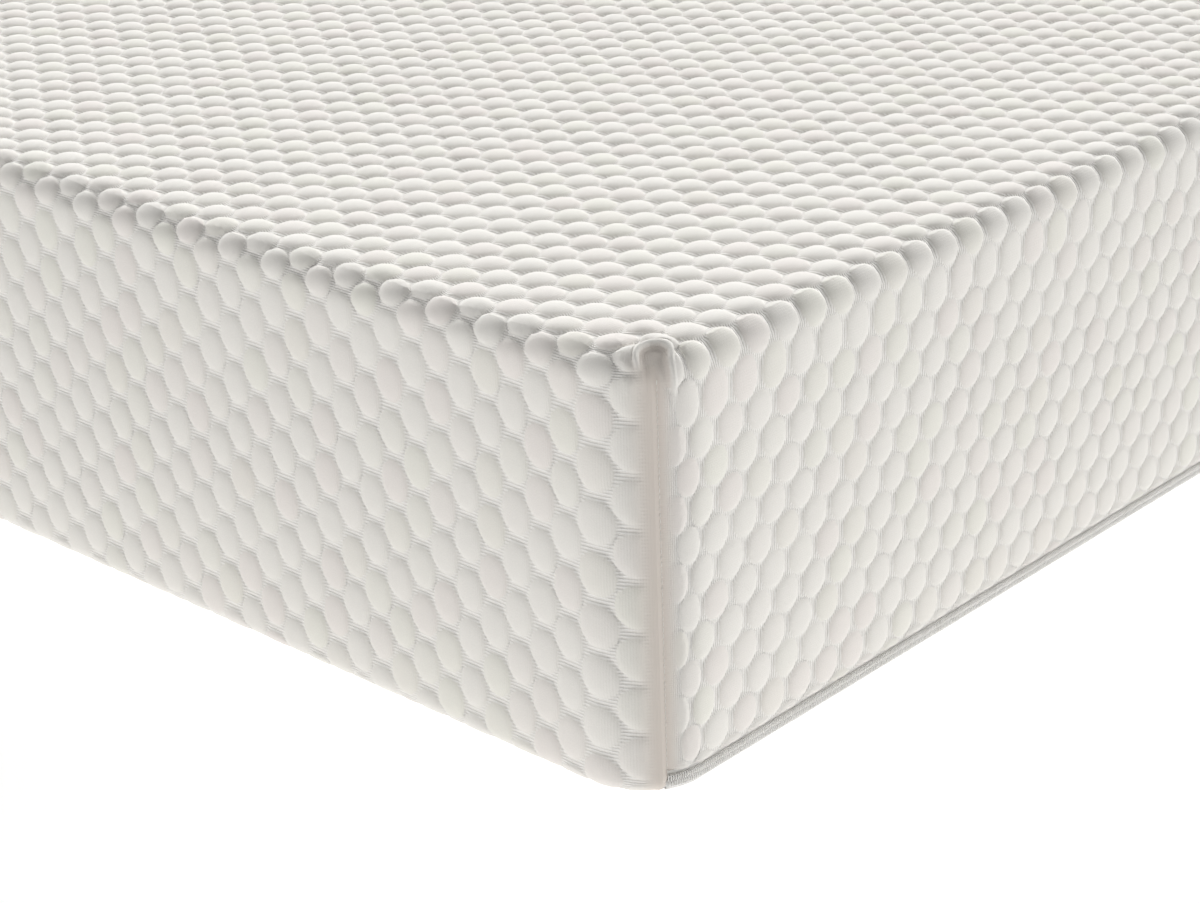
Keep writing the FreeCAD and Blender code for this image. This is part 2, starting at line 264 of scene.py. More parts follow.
def cell_template():
    """One bubble's cell: rings inside a hexagon that the neighbours share."""
    w = PITCH_S / 4 - PITCH_T**2 / (4 * PITCH_S)
    e = PITCH_S / 4 + PITCH_T**2 / (4 * PITCH_S)
    half = PITCH_T / 2
    corners = np.array([(e, 0), (w, half), (-w, half), (-e, 0), (-w, -half), (w, -half)])
    rim = np.array([x for k in range(6) for x in (corners[k], (corners[k] + corners[(k + 1) % 6]) / 2)])
    angle = np.arctan2(rim[:, 1], rim[:, 0])
    middle_t = (FOOT_T_TOP + FOOT_T_SIDE) / 2
    reach = (np.abs(np.cos(angle)) / FOOT_S) ** SQUARE + (np.abs(np.sin(angle)) / middle_t) ** SQUARE
    inside_rim = np.minimum(reach ** (-1 / SQUARE), MOST_OF_CELL * np.hypot(rim[:, 0], rim[:, 1]))
    foot = np.stack([np.cos(angle), np.sin(angle)], 1) * inside_rim[:, None]
    points = [np.zeros((1, 2))] + [foot * share for share in (0.4, 0.7, 0.9, 1.0)] + [rim]
    faces = [(0, 1 + k, 1 + (k + 1) % 12) for k in range(12)]
    for ring in range(4):
        for k in range(12):
            a, b = 1 + ring * 12 + k, 1 + ring * 12 + (k + 1) % 12
            faces += [(a, a + 12, b), (b, a + 12, b + 12)]
    return np.concatenate(points), np.array(faces)


def profile(v, low_z, low_r):
    """The cover's outer line down a side, from the start of the top roll: distance out, height and normal."""
    straight = TOP - ROLL - low_z - low_r
    turn = np.clip(v / ROLL, 0, math.pi / 2)
    under = np.clip((v - QUARTER - straight) / low_r, 0, math.pi / 2)
    out = np.minimum(v, 0) + ROLL * np.sin(turn) - low_r * (1 - np.cos(under))
    z = TOP - ROLL + ROLL * np.cos(turn) - np.clip(v - QUARTER, 0, straight) - low_r * np.sin(under)
    out = out - np.maximum(v - QUARTER - straight - low_r * math.pi / 2, 0)
    n_out, n_z = np.sin(turn) * np.cos(under), np.cos(turn) - np.sin(under)
    return out, z, n_out, n_z


def around(S, T):
    """Where a point of the spread-out cover comes to: distance from the corner axis, and heading round it."""
    a, b = np.maximum(np.abs(S) - X0, 0), np.maximum(np.abs(T) - Y0, 0)
    share_a, share_b = a / A_SIDE, b / B_END
    most = np.maximum(np.maximum(share_a, share_b), 1e-9)
    on_end = (share_a >= share_b) & ((share_a > 0) | (share_b > 0))
    own = np.where(on_end, a, b)
    own_arc = np.where(on_end, A_SIDE, B_END)
    over = np.where(most < 1, SEAM_START * most, SEAM_START + own - own_arc)
    end_turn = np.where(most < 1, END_SHARE * share_b / most, b / PLAN_R)
    side_turn = np.where(most < 1, SIDE_SHARE * share_a / most, a / PLAN_R)
    heading = np.where(on_end, end_turn, math.pi / 2 - side_turn)
    low = np.clip((over - SEAM_START) / LEAN_OVER, 0, 1)
    heading = heading - LEAN * low * np.sin(2 * heading) ** 2
    return np.where((a <= 0) & (b <= 0), 0, over), heading


def wrap(S, T, low_z, low_r):
    """Places a point of the spread-out cover on the mattress: position and outward normal."""
    over, heading = around(S, T)
    out, z, n_out, n_z = profile(over - (PLAN_R - ROLL), low_z, low_r)
    radial = np.where(over > 0, PLAN_R - ROLL + out, 0)
    dx, dy = np.cos(heading), np.sin(heading)
    x = np.sign(S) * (np.minimum(np.abs(S), X0) + radial * dx)
    y = np.sign(T) * (np.minimum(np.abs(T), Y0) + radial * dy)
    normal = np.stack([np.sign(S) * dx * n_out, np.sign(T) * dy * n_out, n_z], 1)
    return np.stack([x, y, z], 1), unit(normal)


def hem_over(low_z, low_r, tuck):
    """Distance from the corner axis over the roll, down the side and under, to a hem."""
    return PLAN_R - ROLL + QUARTER + TOP - ROLL - low_z - low_r + low_r * math.pi / 2 + tuck


S_EDGE, T_EDGE = X0 + A_SIDE, Y0 + B_END
S_FOOT = S_EDGE + hem_over(FOOT_HEM_Z, FOOT_ROLL, FOOT_TUCK) - SEAM_START
S_HEAD = S_EDGE + hem_over(0, UNDER_R, 0) - SEAM_START
T_SIDE = T_EDGE + hem_over(0, UNDER_R, 0) - SEAM_START


def spread_cover():
    """The cover spread out flat: a cross of bubble cells, cut along seams and hems. Rows are S, T, s, t."""
    # more than enough cells either way, in half pitches from the bubble at the origin
    i_all = np.arange(-int(2.4 / PITCH_S) * 2, int(0.4 / PITCH_S) * 2 + 8)
    j_all = np.arange(-int(0.5 / PITCH_T) * 2 - 8, int(1.4 / PITCH_T) * 2)
    i, j = (x.ravel() for x in np.meshgrid(i_all, j_all, indexing="ij"))
    even = (i + j) % 2 == 0
    i, j = i[even], j[even]
    cell, faces = cell_template()
    s, t = cloth_of(i * PITCH_S / 2, j * PITCH_T / 2)
    S, T = np.abs(spread(s, X0, *DRAWN_S, A_SIDE)), np.abs(spread(t, Y0, *DRAWN_T, B_END))
    reach = 0.022
    inside = (S < S_HEAD + reach) & (T < T_EDGE + reach)
    inside |= (T < T_SIDE + reach) & (S < S_EDGE + reach)
    i, j = i[inside], j[inside]
    centres = np.stack([i * PITCH_S / 2, j * PITCH_T / 2], 1)
    points = (centres[:, None, :] + cell[None]).reshape(-1, 2)
    faces = (np.arange(len(i))[:, None, None] * len(cell) + faces[None]).reshape(-1, 3)
    points, faces = weld(points, faces, 1e-5)
    s, t = cloth_of(points[:, 0], points[:, 1])
    flat = np.stack([spread(s, X0, *DRAWN_S, A_SIDE), spread(t, Y0, *DRAWN_T, B_END), s, t], 1)
    seams = (0, S_EDGE), (0, -S_EDGE), (1, T_EDGE), (1, -T_EDGE)
    hems = (0, S_FOOT), (0, -S_HEAD), (1, T_SIDE), (1, -T_SIDE)
    for axis, value in seams + hems:
        flat, faces = cut_line(flat, faces, axis, value)
    x, y = flat[faces, :2].mean(axis=1).T
    kept = (np.abs(y) < T_EDGE) & (x > -S_HEAD) & (x < S_FOOT)
    kept |= (np.abs(x) < S_EDGE) & (np.abs(y) < T_SIDE)
    flat, faces, _ = compact(flat, faces[kept])
    return flat, faces


# the hood: a raised rim that arches over the top of each corner seam. In plan its middle line runs through a
# point by the corner axis and leans towards the long side. Its arch springs from a level down the roll.
HOOD_X, HOOD_Y = 0.0308, 0.0224
HOOD_COS, HOOD_SIN = 0.739, 0.674
HOOD_FOOT = 0.011
HOOD_TALL = 0.0102
HOOD_WIDE = 0.009


def seam_place(flat):
    """Distance down a side from the start of the top roll, and across its seam, towards the end."""
    over, heading = around(flat[:, 0], flat[:, 1])
    low = np.clip((over - SEAM_START) / LEAN_OVER, 0, 1)
    seam = END_SHARE - LEAN * low * math.sin(2 * END_SHARE) ** 2
    out = profile(over - (PLAN_R - ROLL), 0, UNDER_R)[0]
    radial = np.where(over > 0, PLAN_R - ROLL + out, 0)
    near = (np.abs(flat[:, 0]) > X0) & (np.abs(flat[:, 1]) > Y0)
    across = np.where(near, (seam - heading) * radial, 1.0)
    x, y = radial * np.cos(heading) - HOOD_X, radial * np.sin(heading) - HOOD_Y
    leaning = np.where(near, HOOD_COS * x - HOOD_SIN * y, 1.0)
    down = over - (PLAN_R - ROLL)
    share = smoothstep(down, 0.010, 0.022)
    return down, leaning * (1 - share) + across * share


def hood_place(down, across):
    """1 on the hood's rim, less inside it."""
    above = np.minimum(down - HOOD_FOOT, 0) / HOOD_TALL
    return np.hypot(across / HOOD_WIDE, above)


def fine_near(a, b):
    """Picks the edges that are too long for the detail beside a seam or round a hood."""
    middle = (a + b) / 2
    down, across = seam_place(middle)
    long = np.linalg.norm(a[:, :2] - b[:, :2], axis=1)
    by_seam = (np.abs(across) < 0.012) & (down > 0.006) & (long > 0.0024)
    by_hood = (np.abs(across) < 0.017) & (down > -0.010) & (down < 0.032) & (long > 0.0011)
    return by_seam | by_hood


flat, faces = spread_cover()
for _ in range(4):
    flat, faces = split_edges(flat, faces, fine_near, lambda a, b: np.full(len(a), 0.5))

# ---------------------------------------------------------------- the cover's relief

# heights above the deepest valleys; a bubble of ordinary height reaches the outer line
CREST = 0.0037
STRIP_LEVEL = 0.0015
FOOT_HEM_LEVEL = 0.0013
HEM_LEVEL = 0.0021
END_VALLEY = 0.0009
SIDE_VALLEY = 0.0005
HOOD_BEAD = 0.0025
HOOD_HOLLOW = 0.0013
LIP = 0.0003
GROOVE = 0.0004

# the bubbles, flatter on the sides than on the top
p, q = lattice_of(flat[:, 2], flat[:, 3])
bubble_i, bubble_j, off_p, off_q = nearest_bubble(p, q)
below_edge = np.maximum(np.abs(flat[:, 0]) - X0, np.abs(flat[:, 1]) - Y0)
side = smoothstep(below_edge, 0.03, 0.07)
size = 1 + 0.05 * (noise_of(bubble_i, bubble_j, 3) - 0.5)
foot_t = FOOT_T_TOP + (FOOT_T_SIDE - FOOT_T_TOP) * side
off_p, off_q = np.abs(off_p) / (FOOT_S * size), np.abs(off_q) / (foot_t * size)
rho = (off_p**SQUARE + off_q**SQUARE) ** (1 / SQUARE)
dome = np.clip(1 - np.minimum(rho, 1) ** (2.7 + 0.7 * side), 0, 1) ** (0.68 - 0.06 * side)
tall = 1 + 0.14 * (noise_of(bubble_i, bubble_j, 5) - 0.5)

# they fade into the smooth strip beside a corner seam and into the hood above it
down, across = seam_place(flat)
hood = hood_place(down, across)
below_hood = smoothstep(down, 0.010, 0.016)
strip_fade = np.where(across < 0, smoothstep(-across, 0.0075, 0.0150), smoothstep(across, 0.0035, 0.0110))
hood_fade = smoothstep(hood, 1.08, 1.24)
fade = strip_fade * below_hood + hood_fade * (1 - below_hood)
by_springing = (down > 0.010) & (down < 0.024)
fade = np.where(by_springing, np.minimum(fade, np.maximum(hood_fade, below_hood * strip_fade)), fade)

# and into the drawn-in hems
hem_gap = np.where(
    np.abs(flat[:, 1]) > T_EDGE,
    T_SIDE - np.abs(flat[:, 1]),
    np.where(flat[:, 0] > 0, S_FOOT, S_HEAD) - np.abs(flat[:, 0]),
)
on_foot = flat[:, 0] > S_EDGE - 1e-7
on_ends = np.abs(flat[:, 0]) > S_EDGE - 1e-7
hem_fade = np.where(on_foot, smoothstep(hem_gap, 0.0032, 0.0058), smoothstep(hem_gap, 0.003, 0.019))

low_level = np.where(on_ends, END_VALLEY, SIDE_VALLEY) * side
relief = (low_level + (CREST - 0.0002 - low_level) * dome * tall * (1 - 0.16 * side)) * fade
near_corner = np.abs(across) < 0.04
towards_strip = 1 - smoothstep(np.abs(across), 0.005, 0.024)
floor_level = np.where(near_corner, STRIP_LEVEL * np.maximum(towards_strip * below_hood, 1 - fade), 0)
relief = floor_level + relief * (1 - floor_level / CREST)
hem_level = np.where(on_foot, FOOT_HEM_LEVEL, HEM_LEVEL)
relief = relief * hem_fade + hem_level * (1 - hem_fade)

# the hood's round rim, the lip and groove along the seam, and the hollow inside the hood
bead = np.sqrt(np.clip(1 - ((hood - 1) / 0.2) ** 2, 0, 1))
rim_end = np.where(across < 0, 1 - smoothstep(down, 0.012, 0.021), 1 - smoothstep(down, 0.014, 0.050))
relief = relief + (np.maximum(relief, STRIP_LEVEL + HOOD_BEAD * bead) - relief) * rim_end * (bead > 0)
inside_hood = (1 - smoothstep(hood, 0.55, 0.85)) * (down > -0.01) * (1 - smoothstep(down, 0.012, 0.04))
lip = LIP * np.exp(-(((across + 0.0034) / 0.0018) ** 2))
groove = GROOVE * np.exp(-((across / 0.0014) ** 2))
relief += np.where(np.abs(across) < 0.02, (lip - groove) * smoothstep(down, 0.015, 0.024), 0)
relief -= HOOD_HOLLOW * inside_hood

low_z = np.where(on_foot, FOOT_HEM_Z, 0)
low_r = np.where(on_foot, FOOT_ROLL, UNDER_R)
outer, outward = wrap(flat[:, 0], flat[:, 1], low_z, low_r)
cover = outer + outward * (relief - CREST)[:, None]
cover_normals = vertex_normals(cover, faces)

# what the material reads: where the cloth is plain, which it paints a mild beige and darker still as painted
# shade; how raised it is; and two random tints a bubble
# the plain strip by each corner seam: painted a mild beige, with most of its darkening painted shade; the cloth
# inside each hood is painted darker too, as painted shade, and the hood's rim is kept pale, a painted highlight
# against it
by_strip = np.where(across < 0, 1 - smoothstep(-across, 0.003, 0.019), 1 - smoothstep(across, 0.0, 0.010))
plain_cloth_and_painted_shade = by_strip * smoothstep(down, 0.006, 0.020) * near_corner
plain_cloth_and_painted_shade = np.maximum(plain_cloth_and_painted_shade, 0.8 * (1 - smoothstep(hood, 0.72, 0.92)) * (down > -0.012) * (down < 0.03))
plain_cloth_and_painted_shade *= 1 - 0.9 * bead * rim_end
raised = np.maximum(dome * fade, bead * rim_end)
tint = noise_of(bubble_i, bubble_j, 11)
warm = noise_of(bubble_i, bubble_j, 17)

# ---------------------------------------------------------------- materials


class Nodes:
    """A small builder for a node material."""

    def __init__(self, name):
        self.material = bpy.data.materials.new(name)
        self.material.use_nodes = True
        self.tree = self.material.node_tree
        self.shader = self.tree.nodes["Principled BSDF"]

    def set(self, **values):
        for key, value in values.items():
            self.shader.inputs[key.replace("_", " ")].default_value = value
        return self

    def node(self, kind, **settings):
        made = self.tree.nodes.new("ShaderNode" + kind)
        for key, value in settings.items():
            setattr(made, key, value)
        return made

    def link(self, source, target):
        self.tree.links.new(source, target)

    def put(self, socket, value):
        if isinstance(value, bpy.types.NodeSocket):
            self.link(value, socket)
        else:
            socket.default_value = value

    def math(self, operation, a, b=0.0, c=0.0):
        made = self.node("Math", operation=operation)
        for k, value in enumerate((a, b, c)):
            self.put(made.inputs[k], value)
        return made.outputs[0]

    def mix(self, share, a, b):
        made = self.node("Mix", data_type="RGBA")
        self.put(made.inputs["Factor"], share)
        self.put(made.inputs["A"], a)
        self.put(made.inputs["B"], b)
        return made.outputs["Result"]

    def attribute(self, name):
        return self.node("Attribute", attribute_name=name)

    def noise(self, vector, scale, detail=3.0):
        made = self.node("TexNoise")
        self.link(vector, made.inputs["Vector"])
        made.inputs["Scale"].default_value = scale
        made.inputs["Detail"].default_value = detail
        return made.outputs["Fac"]

    def span(self, value, low, high, to_low=0.0, to_high=1.0):
        made = self.node("MapRange")
        self.put(made.inputs["Value"], value)
        for key, number in (("From Min", low), ("From Max", high), ("To Min", to_low), ("To Max", to_high)):
            made.inputs[key].default_value = number
        return made.outputs["Result"]

    def bump(self, height, distance):
        made = self.node("Bump")
        made.inputs["Distance"].default_value = distance
        made.inputs["Strength"].default_value = 1.0
        self.link(height, made.inputs["Height"])
        self.link(made.outputs["Normal"], self.shader.inputs["Normal"])


RIB_PITCH = 0.0016
LOOP_PITCH = 0.00125


def knit_material():
    """Off-white knit: fine ribs between the bubbles, small loops, and a plain beige strip by the seams. The
    valleys are striped with painted shade and painted highlights along their ribs, and the strip and the hood's
    inside are darkened partly by painted shade.
    """
    m = Nodes("cover_knit_fabric")
    m.set(Roughness=0.9, Sheen_Weight=0.2, Sheen_Roughness=0.5, Specular_IOR_Level=0.2)
    cloth = m.attribute("cloth").outputs["Vector"]
    parts = m.node("SeparateXYZ")
    m.link(cloth, parts.inputs[0])
    along, across, height_up = parts.outputs
    spread_out = m.node("CombineXYZ")
    m.link(along, spread_out.inputs[0])
    m.link(across, spread_out.inputs[1])
    spread_out = spread_out.outputs[0]
    # the tint attribute: two random tints a bubble, then the plain-cloth mask, which is painted beige and
    # darker as painted shade
    tints_and_painted_shade = m.node("SeparateXYZ")
    m.link(m.attribute("tint").outputs["Vector"], tints_and_painted_shade.inputs[0])
    pale = (0.885, 0.862, 0.815, 1)
    rose = (0.875, 0.825, 0.785, 1)
    straw = (0.865, 0.855, 0.775, 1)
    colour = m.mix(m.span(tints_and_painted_shade.outputs[0], 0.55, 1.0, 0, 0.8), pale, rose)
    colour = m.mix(m.span(tints_and_painted_shade.outputs[1], 0.7, 1.0, 0, 0.7), colour, straw)
    ribs = m.math("SINE", m.math("MULTIPLY", across, 2 * math.pi / RIB_PITCH))
    loops = m.math("SINE", m.math("MULTIPLY", along, 2 * math.pi / LOOP_PITCH))
    plain_and_painted_shade = m.span(tints_and_painted_shade.outputs[2], 0.0, 1.0)
    bare = m.span(plain_and_painted_shade, 0.0, 1.0, 1.0, 0.0)
    # painted shade and highlight: low marks the valleys between the bubbles, where the colour is painted in
    # stripes along the ribs, a slightly darker trough colour as painted shade and lighter crests as painted
    # highlights, lighter on the whole to offset the valleys' shade. low also scales the ribs' real bump below
    low = m.math("MULTIPLY", m.span(height_up, 0.05, 0.45, 1.0, 0.0), bare)
    lit_ribs = m.math("MULTIPLY", low, m.span(ribs, -0.2, 0.9))
    colour = m.mix(low, colour, (0.86, 0.835, 0.79, 1))
    colour = m.mix(lit_ribs, colour, (0.975, 0.96, 0.93, 1))
    # the plain strip by the seams and the hood's inside: a mild beige, with most of the darkening painted shade
    colour = m.mix(m.span(plain_and_painted_shade, 0.0, 1.0, 0, 0.85), colour, (0.75, 0.672, 0.604, 1))
    mottled = m.noise(spread_out, 900, 2)
    colour = m.mix(m.span(mottled, 0.35, 0.65, 0, 0.10), colour, (0.70, 0.68, 0.65, 1))
    m.link(colour, m.shader.inputs["Base Color"])
    grain = m.noise(spread_out, 1400, 2)
    height = m.math("MULTIPLY", ribs, low)
    height = m.math("ADD", height, m.math("MULTIPLY", loops, 0.15))
    height = m.math("MULTIPLY_ADD", grain, m.span(plain_and_painted_shade, 0.0, 1.0, 0.9, 0.3), height)
    m.bump(height, 0.00016)
    m.link(m.span(grain, 0.3, 0.7, 0.82, 0.95), m.shader.inputs["Roughness"])
    return m.material


knit = knit_material()

# ---------------------------------------------------------------- the cover's five panels


def panel(name, chosen):
    points, triangles, used = compact(cover, faces[chosen])
    attributes = {
        "cloth": np.stack([flat[used, 2], flat[used, 3], raised[used]], 1),
        # the tint attribute's third channel is the plain-cloth mask, which the material paints beige and darker
        # as painted shade
        "tint": np.stack([tint[used], warm[used], plain_cloth_and_painted_shade[used]], 1),
    }
    piece = make_mesh(name, points, triangles, cover_normals[used], attributes, knit)
    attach(piece, "mattress")
    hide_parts("cover_shell")


face_s, face_t = flat[faces, :2].mean(axis=1).T
panel("cover_top", (np.abs(face_s) < S_EDGE) & (np.abs(face_t) < T_EDGE))
panel("cover_side_front", face_t < -T_EDGE)
panel("cover_side_back", face_t > T_EDGE)
panel("cover_end_foot", face_s > S_EDGE)
panel("cover_end_head", face_s < -S_EDGE)

# ---------------------------------------------------------------- plain fabrics, foam, thread and metal


def simple_material(name, dark, light, scale, bump, **values):
    """A finish whose colour and height vary with fine grain, in the object's own coordinates."""
    m = Nodes(name).set(**values)
    place = m.node("TexCoord").outputs["Object"]
    grain = m.noise(place, scale, 3)
    broad = m.noise(place, scale / 40, 2)
    mixed = m.math("MULTIPLY_ADD", broad, 0.5, m.math("MULTIPLY", grain, 0.5))
    m.link(m.mix(m.span(mixed, 0.35, 0.65), dark, light), m.shader.inputs["Base Color"])
    m.bump(grain, bump)
    roughness = values.get("Roughness", 0.6)
    m.link(m.span(grain, 0.3, 0.7, roughness - 0.06, roughness + 0.06), m.shader.inputs["Roughness"])
    return m.material


def foam_material(name, dark, light, cell):
    """Open-cell foam: small pores over a matte body, painted darker in their hollows as painted shade."""
    m = Nodes(name).set(Roughness=0.95, Specular_IOR_Level=0.1)
    place = m.node("TexCoord").outputs["Object"]
    pores = m.node("TexVoronoi")
    m.link(place, pores.inputs["Vector"])
    pores.inputs["Scale"].default_value = 1 / cell
    depth = m.span(pores.outputs["Distance"], 0.0, 0.6)
    # painted shade: the colour darkens towards each pore's bottom, where the bump is lowest
    m.link(m.mix(depth, dark, light), m.shader.inputs["Base Color"])
    m.link(m.span(depth, 0, 1, 0.99, 0.9), m.shader.inputs["Roughness"])
    m.bump(depth, cell * 0.4)
    return m.material


def woven_material(name, dark, light, pitch):
    """Plain weave or fine ribs, by the along and across of the strip."""
    m = Nodes(name).set(Roughness=0.8, Sheen_Weight=0.15, Specular_IOR_Level=0.25)
    parts = m.node("SeparateXYZ")
    m.link(m.attribute("cloth").outputs["Vector"], parts.inputs[0])
    warp = m.math("SINE", m.math("MULTIPLY", parts.outputs[0], 2 * math.pi / pitch))
    weft = m.math("SINE", m.math("MULTIPLY", parts.outputs[1], 2 * math.pi / pitch))
    check = m.math("MULTIPLY", warp, weft)
    m.link(m.mix(m.span(check, -1, 1), dark, light), m.shader.inputs["Base Color"])
    m.link(m.span(check, -1, 1, 0.86, 0.74), m.shader.inputs["Roughness"])
    m.bump(check, pitch * 0.12)
    return m.material


support_look = foam_material("support_foam_cells", (0.72, 0.73, 0.74, 1), (0.86, 0.87, 0.88, 1), 0.0016)
transition_look = foam_material("transition_foam_cells", (0.66, 0.74, 0.78, 1), (0.78, 0.86, 0.90, 1), 0.0014)
comfort_look = foam_material("memory_foam_cells", (0.80, 0.75, 0.58, 1), (0.93, 0.90, 0.76, 1), 0.0009)
liner_look = woven_material("liner_knit_ribs", (0.80, 0.79, 0.75, 1), (0.90, 0.89, 0.86, 1), 0.0012)
tape_look = woven_material("zip_tape_weave", (0.90, 0.885, 0.855, 1), (0.97, 0.96, 0.935, 1), 0.0007)
base_look = woven_material("base_fabric_weave", (0.74, 0.73, 0.70, 1), (0.86, 0.85, 0.82, 1), 0.0016)
thread_look = simple_material(
    "sewing_thread", (0.80, 0.77, 0.72, 1), (0.91, 0.89, 0.85, 1), 4000, 0.00008,
    Roughness=0.6, Sheen_Weight=0.2,
)
coil_look = simple_material(
    "zip_coil_nylon", (0.91, 0.90, 0.87, 1), (0.97, 0.96, 0.94, 1), 2500, 0.00003,
    Roughness=0.42,
)
metal_look = simple_material(
    "zip_metal_plated", (0.62, 0.61, 0.59, 1), (0.74, 0.73, 0.71, 1), 1500, 0.00002,
    Roughness=0.34, Metallic=1.0,
)

# ---------------------------------------------------------------- liner, foam and base


def grid_faces(rows, columns):
    index = np.arange(rows * columns).reshape(rows, columns)
    corners = index[:-1, :-1], index[1:, :-1], index[1:, 1:], index[:-1, 1:]
    return np.stack([x.ravel() for x in corners], 1)


def stretch(*stops):
    """Numbers through the given stops, each with how far apart they lie on the way to it."""
    found = [np.array([stops[0]])]
    for start, step, end in zip(stops[0::2], stops[1::2], stops[2::2]):
        found.append(np.linspace(start, end, max(2, int(math.ceil(abs(end - start) / step)) + 1))[1:])
    return np.concatenate(found)


def make_liner():
    """The knitted bag over the foam: cut like the cover, slightly inside it, turned under at its mouth."""
    inset, under_r = 0.0042, 0.0402
    low = 0.0026 - inset
    turn_under = 0.075
    far = hem_over(low, under_r, turn_under) - SEAM_START
    points, faces, flats, count = [], [], [], 0
    s_mid = stretch(-S_EDGE, 0.006, -X0, 0.02, X0, 0.006, S_EDGE)
    t_mid = stretch(-T_EDGE, 0.006, -Y0, 0.02, Y0, 0.006, T_EDGE)
    fall = stretch(0.0, 0.003, 0.03, 0.012, 0.2, 0.004, 0.28, 0.012, far)
    for S_line, T_line in (
        (s_mid, t_mid),
        (S_EDGE + fall, t_mid),
        (-S_EDGE - fall[::-1], t_mid),
        (s_mid, T_EDGE + fall),
        (s_mid, -T_EDGE - fall[::-1]),
    ):
        S, T = (x.ravel() for x in np.meshgrid(S_line, T_line, indexing="ij"))
        spot, out = wrap(S, T, low, under_r)
        ripple = 0.00025 * np.sin(S * 83 + 2 * np.sin(T * 41)) * np.sin(T * 67 + 1.3)
        spot = spot + out * (ripple - inset)[:, None]
        # under the foam the four flaps are mitred, so that they meet without crossing
        inward_x = np.maximum(X0 - np.abs(spot[:, 0]), 0)
        inward_y = np.maximum(Y0 - np.abs(spot[:, 1]), 0)
        tucked = spot[:, 2] < 0.01
        limit_y = np.where(tucked & (np.abs(S) > S_EDGE), Y0 - inward_x, 9)
        limit_x = np.where(tucked & (np.abs(T) > T_EDGE), X0 - inward_y, 9)
        spot[:, 0] = np.clip(spot[:, 0], -limit_x, limit_x)
        spot[:, 1] = np.clip(spot[:, 1], -limit_y, limit_y)
        points.append(spot)
        flats.append(np.stack([S, T, 0 * S], 1))
        faces.append(grid_faces(len(S_line), len(T_line)) + count)
        count += len(S)
    points, faces, flats = np.concatenate(points), np.concatenate(faces), np.concatenate(flats)
    piece = make_mesh("liner_bag", points, faces, None, {"cloth": flats}, liner_look)
    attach(piece, "mattress")
    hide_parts("inner_liner")


def rounded_outline(half_x, half_y, radius, step):
    """Points round a rounded rectangle, and each one's outward direction."""
    cx, cy = half_x - radius, half_y - radius
    spots, outs = [], []
    turns = np.linspace(0, math.pi / 2, 13)
    for k, (sx, sy) in enumerate(((1, 1), (-1, 1), (-1, -1), (1, -1))):
        angle = turns + k * math.pi / 2
        out = np.stack([np.cos(angle), np.sin(angle)], 1)
        spots.append(np.array([sx * cx, sy * cy]) + radius * out)
        outs.append(out)
    spots, outs = np.concatenate(spots), np.concatenate(outs)
    filled, directions = [], []
    for k in range(len(spots)):
        a, b = spots[k], spots[(k + 1) % len(spots)]
        number = max(1, int(round(np.linalg.norm(b - a) / step)))
        share = np.arange(number)[:, None] / number
        filled.append(a + (b - a) * share)
        directions.append(outs[k] * (1 - share) + outs[(k + 1) % len(spots)] * share)
    return np.concatenate(filled), unit(np.concatenate(directions))


def make_block(name, node, look, r_plan, r_low, r_high):
    """A soft slab in a CAD node's own space, with rounded edges and closed faces."""
    low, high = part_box(node)
    outline, out = rounded_outline(high.x, high.y, r_plan, 0.03)
    number = len(out)
    turns = np.linspace(0, math.pi / 2, 7)
    edge = [(r_low * (1 - math.sin(a)), low.z + r_low * (1 - math.cos(a))) for a in turns]
    edge += [(0.0, low.z + r_low + (high.z - low.z - r_low - r_high) * f) for f in (0.25, 0.5, 0.75)]
    edge += [(r_high * (1 - math.cos(a)), high.z - r_high * (1 - math.sin(a))) for a in turns]
    shares = 0.02, 0.2, 0.4, 0.6, 0.8
    rings = [((outline - out * r_low) * share, low.z) for share in shares]
    rings += [(outline - out * inset, z) for inset, z in edge]
    rings += [((outline - out * r_high) * share, high.z) for share in shares[::-1]]
    points = np.concatenate([np.column_stack([ring, np.full(number, z)]) for ring, z in rings])
    index = np.arange(len(points)).reshape(-1, number)
    after = np.roll(index, -1, axis=1)
    quads = np.stack([index[:-1], after[:-1], after[1:], index[1:]], -1).reshape(-1, 4)
    triangles = np.concatenate([quads[:, [0, 1, 2]], quads[:, [0, 2, 3]]])
    ends = [[0, 0, low.z], [0, 0, high.z]]
    bottom, top = len(points), len(points) + 1
    caps = [np.stack([np.full(number, bottom), after[0], index[0]], 1)]
    caps += [np.stack([np.full(number, top), index[-1], after[-1]], 1)]
    points = np.concatenate([points, ends])
    flats = points * [1, 1, 0]
    piece = make_mesh(name, points, np.concatenate([triangles] + caps), None, {"cloth": flats}, look)
    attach(piece, "mattress")
    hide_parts(node)
    return piece


# the foam's corners in plan, and its edges: barely eased where blocks are glued, full at the foot and the top
CORE_R = 0.0404
GLUED_R = 0.0015
CORE_FOOT_R = 0.0347
CORE_TOP_R = 0.0134
for block in (
    make_block("foam_support", "support_core", support_look, CORE_R, CORE_FOOT_R, GLUED_R),
    make_block(
        "foam_transition", "transition_foam", transition_look, CORE_R, GLUED_R, GLUED_R
    ),
    make_block("foam_comfort", "comfort_foam", comfort_look, CORE_R, GLUED_R, CORE_TOP_R),
):
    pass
make_liner()
base = make_block("base_cloth", "base_panel", base_look, PLAN_R - UNDER_R, 0.0009, 0.0009)

# ---------------------------------------------------------------- thread, zip coils and tapes


